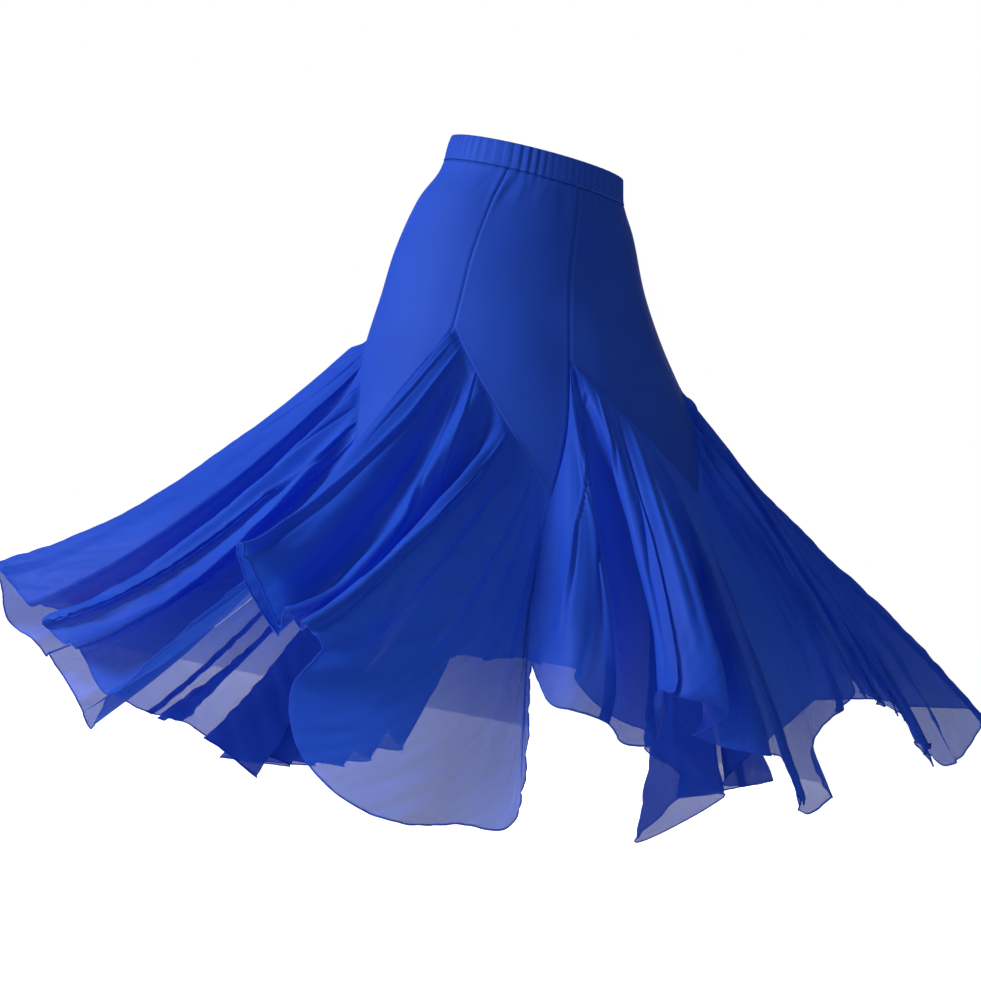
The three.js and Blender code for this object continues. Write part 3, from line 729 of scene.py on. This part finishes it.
# %% Creases
Crease = namedtuple("Crease", "path width height")
CREASES = {
    "left": [
        Crease([(9.5, 0), (9.2, 0.2), (9, 1)], 4, 4.5),
        Crease([(13.1, 0), (12.8, 0.19), (11.7, 0.4), (11.3, 1)], 4, 5.5),
        Crease([(14.4, 0), (13.6, 0.3), (12.2, 0.62)], 3, 3),
        Crease([(10.6, 0), (10.4, 0.3), (10.1, 0.6)], 4, 3),
        Crease([(8.6, 0), (8, 0.25), (7.6, 0.5)], 3.5, 3),
        Crease([(7.2, 0), (7.3, 0.3), (7.8, 0.8)], 4, -3),
        Crease([(11.8, 0), (11, 0.3), (10.3, 0.9)], 4, -3.5),
        Crease([(15.3, 0.43), (14.4, 0.63), (12.9, 0.8), (12.6, 1)], 5, 5),
        Crease([(14.9, 0.5), (13.8, 0.75), (13.4, 1)], 5, -4),
        Crease([(2.2, 0.2), (2.5, 1)], 9, 7),
        Crease([(4.6, 0.3), (4.4, 1)], 8, 6),
    ],
    "front_left": [
        Crease([(5, 0.02), (4.9, 0.32), (4.5, 0.58), (4.15, 0.8), (4.1, 1)], 4, 5),
        Crease([(4.5, 0.05), (4.45, 0.25), (4.3, 0.5)], 2.5, 2.5),
        Crease([(4.1, 0.1), (4.05, 0.3), (3.9, 0.5)], 2.5, 2.5),
        Crease([(5.9, 0.1), (6.5, 0.35), (7.05, 0.5), (7.1, 1)], 4.5, 4.5),
        Crease([(6.3, 0), (6.9, 0.15), (7.3, 0.35), (8.2, 0.5), (8.7, 0.62)], 4, 4.5),
        Crease([(5.6, 0.1), (5.8, 0.4), (5.6, 0.8)], 6, -3.5),
        Crease([(9.1, 0.03), (9.4, 0.26), (9.15, 0.6), (9.2, 1)], 3.5, 4.5),
        Crease([(11.2, 0.05), (10.7, 0.3), (10.4, 0.75)], 6, -3),
        Crease([(13, 0.05), (12.6, 0.3), (12, 0.85)], 6, 3),
        Crease([(14.2, 0.1), (14.3, 0.45), (14.6, 1)], 6, -3),
        Crease([(15.6, 0.15), (15.4, 0.5), (15.3, 0.9)], 6, 3.5),
    ],
    "front_right": [
        Crease([(5.4, 0.06), (3.4, 0.22), (2.2, 0.36), (1.8, 0.5), (1.2, 0.7)], 3.5, 5),
        Crease([(4.6, 0.02), (4.5, 0.16), (3.6, 0.3), (2.9, 0.5), (2.7, 0.8)], 4.5, -4),
        Crease([(6, 0.02), (6.1, 0.2), (5.2, 0.5), (4.6, 0.8)], 4.5, 4),
        Crease([(7.15, 0.03), (7, 0.3), (6.5, 0.54), (6.2, 0.85)], 3.5, -5),
        Crease([(7.6, 0.08), (7.5, 0.4), (7.4, 0.8)], 5, 3.5),
        Crease([(9.3, 0.03), (10, 0.2), (10.1, 0.7)], 5, 4),
        Crease([(10.9, 0.05), (11, 0.5), (10.8, 1)], 5, -3.5),
        Crease([(11.8, 0.08), (11.9, 0.5), (11.7, 1)], 5, 3.5),
    ],
    "right": [
        Crease([(6.6, 0), (3.4, 0.18), (2.75, 0.5), (2.6, 0.9)], 3.5, 5),
        Crease([(7.6, 0), (5, 0.2), (4.4, 0.6), (4.3, 1)], 3.5, 4),
        Crease([(8.6, 0), (6.8, 0.25), (6.7, 0.6), (6.6, 1)], 3.5, 5),
        Crease([(9.3, 0), (8, 0.2), (8.6, 0.6), (8.7, 1)], 3.5, 5),
        Crease([(10.4, 0), (9.6, 0.3), (10.6, 0.8), (10.6, 1)], 3.5, 5),
        Crease([(11.4, 0), (11.2, 0.4), (12.4, 1)], 3.5, 5),
        Crease([(12.6, 0), (12.9, 0.5), (13.2, 1)], 4, 5),
        Crease([(14.2, 0), (14.6, 0.5), (14.7, 1)], 4, 5),
    ],
}


def scattered_creases(seed, folds):
    """Creases for a godet that the photo doesn't show, one or two to a fold."""
    random = np.random.default_rng(seed)
    creases = []
    for fold in np.arange(0.9, folds, 0.62):
        start, end = random.uniform(0.0, 0.12), random.uniform(0.5, 1.0)
        number = fold + random.uniform(-0.15, 0.15)
        drift = random.uniform(-0.35, 0.35)
        height = random.choice([-1, 1, 1]) * random.uniform(2.5, 5.0)
        creases.append(Crease([(number, start), (number + drift, end)], random.uniform(3.5, 6.5), height))
    return creases


def line_on(across, shares, stations, path):
    """Where a path of fold numbers crosses each row, measured as walk_across does."""
    numbers, ways = np.array(path).T
    columns = np.arange(len(stations))
    column = np.interp(np.interp(shares, ways, numbers), stations, columns)
    return np.array([[np.interp(column[row], columns, across[row])] for row in range(len(shares))]), ways


def with_creases(name, cloth, shares, stations):
    """Raises the creases of a godet along the cloth's own normal."""
    across = walk_across(cloth)
    height = np.zeros(cloth.shape[:2])
    for crease in CREASES.get(name) or scattered_creases(len(name), stations[-1]):
        middle, ways = line_on(across, shares, stations, crease.path)
        size = crease.width * (0.45 + 1.1 * shares)[:, None]
        off = (across - middle) / size
        shape = np.exp(-np.abs(off) ** 1.6)
        if crease.height > 0:
            shape -= 0.7 * np.exp(-(((off - 1.7) / 0.8) ** 2))
        fade_in = np.clip((shares - ways[0]) / 0.06 + 0.15, 0, 1)
        fade_out = np.clip((ways[-1] - shares) / 0.2, 0, 1) if ways[-1] < 1 else 1.0
        rise = crease.height * (0.5 + 0.7 * shares) * fade_in * fade_out
        height += rise[:, None] * shape
    return cloth + cloth_normals(cloth) * (height * from_sides(len(stations), 20))[..., None]


# %% [markdown]
# A pleat needs more than a raised line: there the cloth turns back and lies on itself, which shows as a
# sharp edge and, in sheer cloth, as a darker strip of three layers. Each row is sampled again at places
# that run forwards, then back, then forwards again, and the layers are lifted apart.

# %% Pleats
# x exp(-x^2) is at most 0.43, and this brings it to 1
LAP_SCALE = 2.33


def with_pleats(name, cloth, shares, stations):
    """Laps the cloth over itself along the lines of a godet's pleats."""
    across = walk_across(cloth)
    normal = cloth_normals(cloth)
    place = across.copy()
    lift = np.zeros(across.shape)
    size = (0.2 + 0.8 * shares)[:, None]
    for pleat in PLEATS[name]:
        middle, ways = line_on(across, shares, stations, pleat.path)
        off = (across - middle) / (pleat.width * size)
        lap = LAP_SCALE * off * np.exp(-(off**2))
        begun = np.clip((shares - ways[0]) / 0.3, 0, 1)[:, None]
        lap = lap * begun**2 * (3 - 2 * begun) * size
        place -= pleat.tuck * lap
        lift += pleat.lift * lap
    lapped = np.empty(cloth.shape)
    facing = np.empty(cloth.shape)
    for row in range(len(shares)):
        for axis in range(3):
            lapped[row, :, axis] = np.interp(place[row], across[row], cloth[row, :, axis])
            facing[row, :, axis] = np.interp(place[row], across[row], normal[row, :, axis])
    return lapped + unit(facing) * lift[..., None]


# %% Small flutes, puckers and hem
def with_flutes(i, cloth, shares):
    """Adds the fine relief, in millimetres along the cloth's own normal."""
    normal = cloth_normals(cloth)
    edge_walk = walk_along(cloth[0])
    hem_walk = walk_along(cloth[-1])
    walk = lerp(edge_walk[None, :], hem_walk[None, :], shares[:, None])
    depth = np.linalg.norm(cloth - cloth[:1], axis=2)
    around = np.stack([walk / 100, np.broadcast_to(shares[:, None] * 0.9, walk.shape)], axis=-1)
    flutes = 2.2 * uneven(20 + i, around, 0.55) * shares[:, None] ** 0.8
    flutes += 0.9 * uneven(40 + i, around, 0.2) * shares[:, None]
    pucker = 0.3 * np.sin(edge_walk * 2 * math.pi / 7.5 + 2.2 * np.sin(edge_walk / 17))[None, :]
    pucker = pucker * np.exp(-depth / 6) * np.minimum(1, depth / 1.5)
    # the relief fades out towards the joint seams, so that neighbouring godets still meet
    sides = np.minimum(1, np.minimum(walk - walk[:, :1], walk[:, -1:] - walk) / 18)
    return cloth + normal * ((flutes + pucker) * sides)[..., None]


HEM_ROLL = 1.1
ROLL_STEPS = (40, 80, 120, 160, 200, 240, 280, 320)


def with_rolled_hem(cloth):
    """Adds rows that roll the last edge inwards round a small circle."""
    normal = cloth_normals(cloth)[-1]
    down = unit(cloth[-1] - cloth[-2])
    centre = cloth[-1] - normal * HEM_ROLL
    rolls = []
    for angle in np.radians(ROLL_STEPS):
        rolls.append(centre + (normal * math.cos(angle) + down * math.sin(angle)) * HEM_ROLL)
    return np.concatenate([cloth, np.array(rolls)])


godets = {}
for i, seam in enumerate(SEAMS):
    cloth, shares, stations = godet_places(i)
    cloth = soften(cloth, shares)
    cloth = deepen(cloth, shares)
    cloth = with_creases(seam.name, cloth, shares, stations)
    cloth = with_flutes(i, cloth, shares)
    cloth = with_pleats(seam.name, cloth, shares, stations)
    cloth = with_rolled_hem(cloth)
    godets[seam.name] = cloth_from_grid("godet_" + seam.name + "_cloth", cloth)
    hem = np.linalg.norm(np.diff(cloth[GODET_ROWS], axis=0), axis=1).sum() * MM
    print(f"godet {seam.name}: hem {hem:.2f} m")

# %% [markdown]
# ## Stitches
#
# Two rows of thread hold the elastic in its casing. Each stitch is a small rounded bar pressed into the
# cloth. A few hundred of them would be slow as separate objects, so one bar is made once and copied inside
# one mesh, a short pitch apart, each turned to lie along the waist.

# %% Rows of stitches
STITCH_LENGTH = 2.3
STITCH_PITCH = 3.3
THREAD_RADIUS = 0.26


def stitch_run(name, path, outwards):
    """Bars of thread along a path of points in millimetres, with the way out of the cloth at each point."""
    walked = walk_along(path)
    count = int(walked[-1] / STITCH_PITCH)
    lying = Matrix.Rotation(math.pi / 2, 4, "Y")
    bm = bmesh.new()
    for n in range(count):
        middle = (n + 0.5) * STITCH_PITCH
        spot = np.array([np.interp(middle, walked, path[:, axis]) for axis in range(3)])
        ahead = np.array([np.interp(middle + 0.5, walked, path[:, axis]) for axis in range(3)])
        out = unit(np.array([np.interp(middle, walked, outwards[:, axis]) for axis in range(3)]))
        along = unit(ahead - spot)
        side = np.cross(out, along)
        turned = Matrix((along, side, out)).transposed().to_4x4()
        place = Matrix.Translation(Vector(spot * MM)) @ turned
        shape = Matrix.Diagonal((STITCH_LENGTH / 2, THREAD_RADIUS * 1.3, THREAD_RADIUS, 1))
        turned_bar = place @ shape @ lying
        bmesh.ops.create_uvsphere(bm, u_segments=6, v_segments=4, radius=MM, matrix=turned_bar)
    return new_piece(name, bm)


stitches = []
for number, row in enumerate(STITCH_ROWS):
    turns = np.linspace(-180, 180, 721)
    worn = row + waist_dip(turns)
    outwards = out_of_body(turns, worn)
    out = BAND_WALL / 2 + 0.375 * gather(turns) - 0.3
    path = on_body(turns, worn) + outwards * out[:, None]
    stitches.append(stitch_run(f"stitch_row_{number + 1}", path, outwards))
print("stitch rows:", len(stitches))

# %% [markdown]
# ## Cloth finishes
#
# Two cloths share two effects, so each effect is a node group with named sockets. "Cloth tone" varies the
# dye a little from place to place, as jersey does under studio light. "Knit relief" raises fine ribs along
# the UV map, which is in metres, so a rib has its real width everywhere. It also says how open the cloth
# is: the holes lie between ribs and courses, and they open towards the hem, where the mesh is stretched.

# %% Group: cloth tone
def new_group(name, inputs, outputs):
    group = bpy.data.node_groups.new(name, "ShaderNodeTree")
    for socket, kind, value in inputs:
        made = group.interface.new_socket(name=socket, in_out="INPUT", socket_type=kind)
        made.default_value = value
    for socket, kind in outputs:
        group.interface.new_socket(name=socket, in_out="OUTPUT", socket_type=kind)
    start, end = group.nodes.new("NodeGroupInput"), group.nodes.new("NodeGroupOutput")
    return group, start, end


def set_inputs(node, **values):
    """Sets the named inputs of a node, with _ for each space in a name."""
    for socket, value in values.items():
        node.inputs[socket.replace("_", " ")].default_value = value


def add_node(tree, kind, **values):
    """A new shader node of a tree, with its named inputs set."""
    node = tree.nodes.new("ShaderNode" + kind)
    set_inputs(node, **values)
    return node


tone_group, start, end = new_group(
    "Cloth tone",
    [
        ("Dye", "NodeSocketColor", (0.02, 0.08, 0.6, 1)),
        ("Deep dye", "NodeSocketColor", (0.01, 0.04, 0.4, 1)),
        ("Patch size", "NodeSocketFloat", 9.0),
    ],
    [("Color", "NodeSocketColor")],
)
place = add_node(tone_group, "TexCoord")
patches = add_node(tone_group, "TexNoise", Detail=3.0)
spread = add_node(tone_group, "MapRange", From_Min=0.35, From_Max=0.65)
blend = add_node(tone_group, "Mix")
blend.data_type = "RGBA"
join = tone_group.links.new
join(place.outputs["Object"], patches.inputs["Vector"])
join(start.outputs["Patch size"], patches.inputs["Scale"])
join(patches.outputs["Fac"], spread.inputs["Value"])
join(spread.outputs["Result"], blend.inputs["Factor"])
join(start.outputs["Deep dye"], blend.inputs["A"])
join(start.outputs["Dye"], blend.inputs["B"])
join(blend.outputs["Result"], end.inputs["Color"])

# %% Group: knit relief
relief_group, start, end = new_group(
    "Knit relief",
    [("Ribs per metre", "NodeSocketFloat", 1400.0), ("Courses per metre", "NodeSocketFloat", 1100.0)],
    [("Height", "NodeSocketFloat"), ("Openness", "NodeSocketFloat")],
)
OPENS_AT = -0.18
OPEN_AT = -0.5

cloth_map = add_node(relief_group, "UVMap")
cloth_map.uv_map = "cloth"
split = add_node(relief_group, "SeparateXYZ")
relief_group.links.new(cloth_map.outputs["UV"], split.inputs["Vector"])


def math_node(operation, *values):
    """Result of a math node in the relief group, fed by other results or plain numbers."""
    node = add_node(relief_group, "Math")
    node.operation = operation
    for socket, value in zip(node.inputs, values):
        if isinstance(value, float):
            socket.default_value = value
        else:
            relief_group.links.new(value, socket)
    return node.outputs[0]


def wave_of(axis, rate):
    """A sine wave along one axis of the cloth, from 0 to 1."""
    turns = math_node("MULTIPLY", split.outputs[axis], start.outputs[rate])
    radians = math_node("MULTIPLY", turns, 2 * math.pi)
    return math_node("MULTIPLY_ADD", math_node("SINE", radians), 0.5, 0.5)


ribs_wave = wave_of("X", "Ribs per metre")
courses_wave = wave_of("Y", "Courses per metre")
holes = math_node("MULTIPLY", ribs_wave, courses_wave)
opened = add_node(relief_group, "MapRange", From_Min=OPENS_AT, From_Max=OPEN_AT, To_Min=0.08, To_Max=1.0)
opened.interpolation_type = "SMOOTHSTEP"
relief_group.links.new(split.outputs["Y"], opened.inputs["Value"])
openness = math_node("MULTIPLY", holes, opened.outputs["Result"])
relief_group.links.new(ribs_wave, end.inputs["Height"])
relief_group.links.new(openness, end.inputs["Openness"])
print("node groups:", tone_group.name, "and", relief_group.name)


# %% [markdown]
# The yoke is a smooth opaque jersey with a soft sheen. The godets are a fine mesh whose holes are far
# smaller than a pixel. Near the yoke one layer is nearly solid, and at the hem it lets about a tenth of
# the light straight through. The opacity goes into Alpha, which is what makes the layers add up by
# themselves. A translucent share lets a lit layer glow from its other side, as thin cloth does.

# %% Materials
CLOSED_OPACITY = 0.98
HOLE_OPACITY = 0.5
GLOW_SHARE = 0.2


def put_group(material, group, **values):
    node = material.node_tree.nodes.new("ShaderNodeGroup")
    node.node_tree = group
    set_inputs(node, **values)
    return node


def cloth_material(name, dye, deep_dye, roughness, relief, ribs, courses):
    material = bpy.data.materials.new(name)
    material.use_nodes = True
    links = material.node_tree.links
    shader = material.node_tree.nodes["Principled BSDF"]
    tone = put_group(material, tone_group, Dye=dye, Deep_dye=deep_dye, Patch_size=7.0)
    knit = put_group(material, relief_group, Ribs_per_metre=ribs, Courses_per_metre=courses)
    bump = add_node(material.node_tree, "Bump", Strength=relief, Distance=0.0002)
    links.new(tone.outputs["Color"], shader.inputs["Base Color"])
    links.new(knit.outputs["Height"], bump.inputs["Height"])
    links.new(bump.outputs["Normal"], shader.inputs["Normal"])
    set_inputs(shader, Roughness=roughness, Specular_IOR_Level=0.1)
    set_inputs(shader, Sheen_Weight=0.03, Sheen_Roughness=0.4, Sheen_Tint=(0.35, 0.5, 1.0, 1))
    return material, shader, knit


jersey, _, _ = cloth_material(
    "blue jersey", (0.022, 0.092, 0.64, 1), (0.017, 0.074, 0.56, 1), 0.62, 0.25, 1400.0, 1100.0
)
sheer, sheer_shader, sheer_knit = cloth_material(
    "blue sheer mesh", (0.023, 0.108, 0.78, 1), (0.017, 0.088, 0.69, 1), 0.55, 0.2, 900.0, 900.0
)
sheer_tree = sheer.node_tree
opacity = add_node(sheer_tree, "MapRange", To_Min=CLOSED_OPACITY, To_Max=HOLE_OPACITY)
glow = add_node(sheer_tree, "BsdfTranslucent", Color=(0.04, 0.19, 0.9, 1))
both_sides = add_node(sheer_tree, "MixShader", Fac=GLOW_SHARE)
sheer_out = sheer_tree.nodes["Material Output"]
join = sheer_tree.links.new
join(sheer_shader.outputs["BSDF"], both_sides.inputs[1])
join(glow.outputs["BSDF"], both_sides.inputs[2])
join(both_sides.outputs["Shader"], sheer_out.inputs["Surface"])
join(sheer_knit.outputs["Openness"], opacity.inputs["Value"])
join(opacity.outputs["Result"], sheer_shader.inputs["Alpha"])

thread = bpy.data.materials.new("blue thread")
thread.use_nodes = True
thread_dyes = {"Dye": (0.05, 0.15, 0.75, 1), "Deep_dye": (0.03, 0.1, 0.6, 1)}
thread_tone = put_group(thread, tone_group, **thread_dyes, Patch_size=60.0)
thread_shader = thread.node_tree.nodes["Principled BSDF"]
thread.node_tree.links.new(thread_tone.outputs["Color"], thread_shader.inputs["Base Color"])
thread_shader.inputs["Roughness"].default_value = 0.5
print("materials:", jersey.name, sheer.name, thread.name)

# %% [markdown]
# ## Thickness and the frame
#
# The band and yoke are opaque, so they get a real thickness. The sheer godets stay single sheets: two
# walls half a millimetre apart would each need half the opacity, and would look no different.

# %% Finish and hand over each piece
def thicken(piece, wall):
    solid = piece.modifiers.new("thickness", "SOLIDIFY")
    solid.thickness = wall * MM
    solid.offset = -1.0


CLOTH_THICKNESS = 0.6

waistband.data.materials.append(jersey)
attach(waistband, "root")
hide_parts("waistband")
for name, piece in yoke.items():
    piece.data.materials.append(jersey)
    thicken(piece, CLOTH_THICKNESS)
    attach(piece, "root")
    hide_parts(name)
for name, piece in godets.items():
    piece.data.materials.append(sheer)
    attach(piece, "root")
    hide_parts("godet_" + name)
for piece in stitches:
    piece.data.materials.append(thread)
    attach(piece, "root")


# %% [markdown]
# Stretch cloth is cut smaller than it is worn, the band is cut longer and gathered, and a godet is cut as a
# fan, so its area is less than its width times its length.


# %% [markdown]
# ## Floor and light
#
# The photo is a studio shot on white with a soft light from the left. The floor is a wide pale disc where
# a wearer's feet would stand. A large area light from the left makes the lit sides of the folds, a weak one
# from the front right keeps the shaded side blue, and one from behind shines through the sheer hems. The
# camera doesn't see the lights, and it sees floor and surroundings as plain white.

# %% Floor
FLOOR_DROP = 1.06
FLOOR_RADIUS = 9.0

bm = bmesh.new()
bmesh.ops.create_circle(bm, cap_ends=True, segments=96, radius=FLOOR_RADIUS)
bmesh.ops.translate(bm, verts=bm.verts, vec=(0, 0, -FLOOR_DROP))
floor = new_piece("floor", bm, smooth=False)
paint = bpy.data.materials.new("pale floor")
paint.use_nodes = True
paint_shader = paint.node_tree.nodes["Principled BSDF"]
set_inputs(paint_shader, Base_Color=(0.9, 0.9, 0.9, 1), Roughness=0.9, Emission_Color=(1, 1, 1, 1))
paint_seen = add_node(paint.node_tree, "LightPath")
paint.node_tree.links.new(paint_seen.outputs["Is Camera Ray"], paint_shader.inputs["Emission Strength"])
floor.data.materials.append(paint)


# %% Lights
SKY_LIGHT = 0.13


def soft_light(name, place, aim, size, power):
    data = bpy.data.lights.new(name, "AREA")
    data.size = size
    data.energy = power
    light = bpy.data.objects.new(name, data)
    light.location = place
    light.visible_camera = False
    light.rotation_mode = "QUATERNION"
    light.rotation_quaternion = (Vector(aim) - Vector(place)).to_track_quat("-Z", "Y")
    bpy.context.scene.collection.objects.link(light)


soft_light("key", (-3.1, -0.8, 0.8), (0, 0, -0.35), 1.2, 90)
soft_light("fill", (1.2, -3.0, 0.2), (0.1, 0, -0.4), 2.0, 9)
soft_light("back", (0.2, 3.2, -0.3), (0, 0, -0.5), 2.4, 42)

world = bpy.data.worlds.new("studio")
bpy.context.scene.world = world
world.use_nodes = True
sky = world.node_tree.nodes["Background"]
set_inputs(sky, Color=(1, 1, 1, 1))
seen = add_node(world.node_tree, "LightPath")
strength = add_node(world.node_tree, "MapRange", To_Min=SKY_LIGHT, To_Max=1.0)
join = world.node_tree.links.new
join(seen.outputs["Is Camera Ray"], strength.inputs["Value"])
join(strength.outputs["Result"], sky.inputs["Strength"])
bpy.context.scene.view_settings.view_transform = "Standard"
